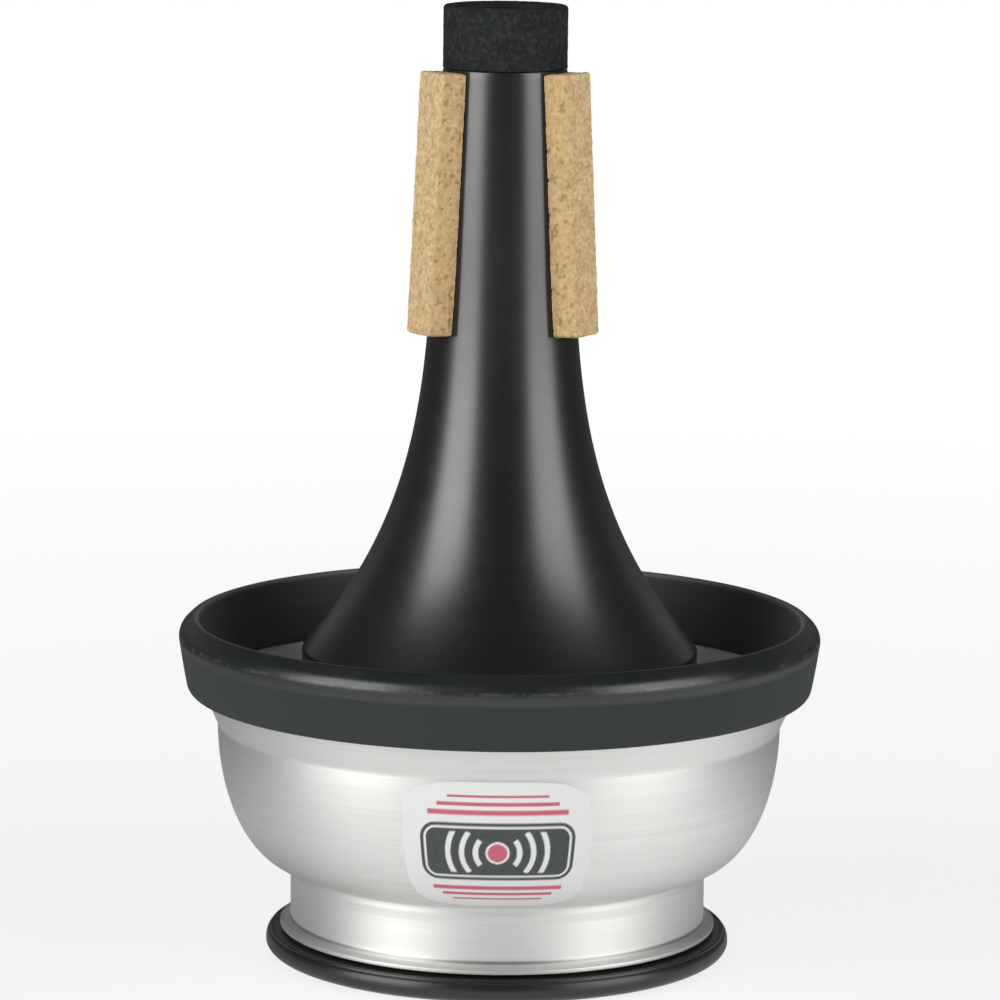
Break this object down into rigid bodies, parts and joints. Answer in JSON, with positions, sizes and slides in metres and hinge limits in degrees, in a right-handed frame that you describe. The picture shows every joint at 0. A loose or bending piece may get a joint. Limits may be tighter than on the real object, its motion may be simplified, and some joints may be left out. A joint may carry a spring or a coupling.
{
  "type": "trumpet cup mute",
  "caption": "Adjustable trumpet cup mute: a flared black cone with cork strips and a nose collar, in a spun aluminium cup with a rubber rim that slides and turns on its barrel.",
  "frame": {"origin": "centre of the base ring's foot, on the surface that the mute stands on", "axes": "+Z along the mute's axis towards the nose, -Y towards the label, +X to the right seen from the label's side"},
  "size_m": [0.1252, 0.1252, 0.1857],
  "materials": {
    "black_lacquer": "satin black stoved lacquer on spun aluminium, with soft long highlights",
    "collar_rubber": "matte black cellular rubber, finely mottled",
    "cork": "fine granular cork, sanded outside and pitted along the cut edges",
    "plate_aluminium": "spun aluminium with fine turned rings",
    "base_rubber": "black moulded rubber, slightly glossy",
    "sleeve_felt": "thin dark felt",
    "cup_aluminium": "spun aluminium, brushed round the axis, lightly bowed outside and unpolished inside",
    "rim_rubber": "charcoal moulded rubber, matte, paler along the mould line",
    "label_film": "printed film sticker with plain shapes in charcoal and faded red"
  },
  "bodies": {
    "body": {"cone_body": "black_lacquer", "nose_collar": "collar_rubber", "cork_left": "cork", "cork_right": "cork", "cork_back": "cork", "end_plate": "plate_aluminium", "base_ring": "base_rubber"},
    "sleeve": {"grip_sleeve": "sleeve_felt"},
    "cup": {"cup_shell": "cup_aluminium", "rim_ring": "rim_rubber", "label": "label_film"}
  },
  "joints": [
    {"name": "cup_slide", "type": "slide", "parent": "body", "child": "sleeve", "axis": [0, 0, 1], "range_m": [0, 0.04]},
    {"name": "cup_twist", "type": "hinge", "parent": "sleeve", "child": "cup", "pos_m": [0, 0, 0.0113], "axis": [0, 0, 1], "continuous": true}
  ]
}
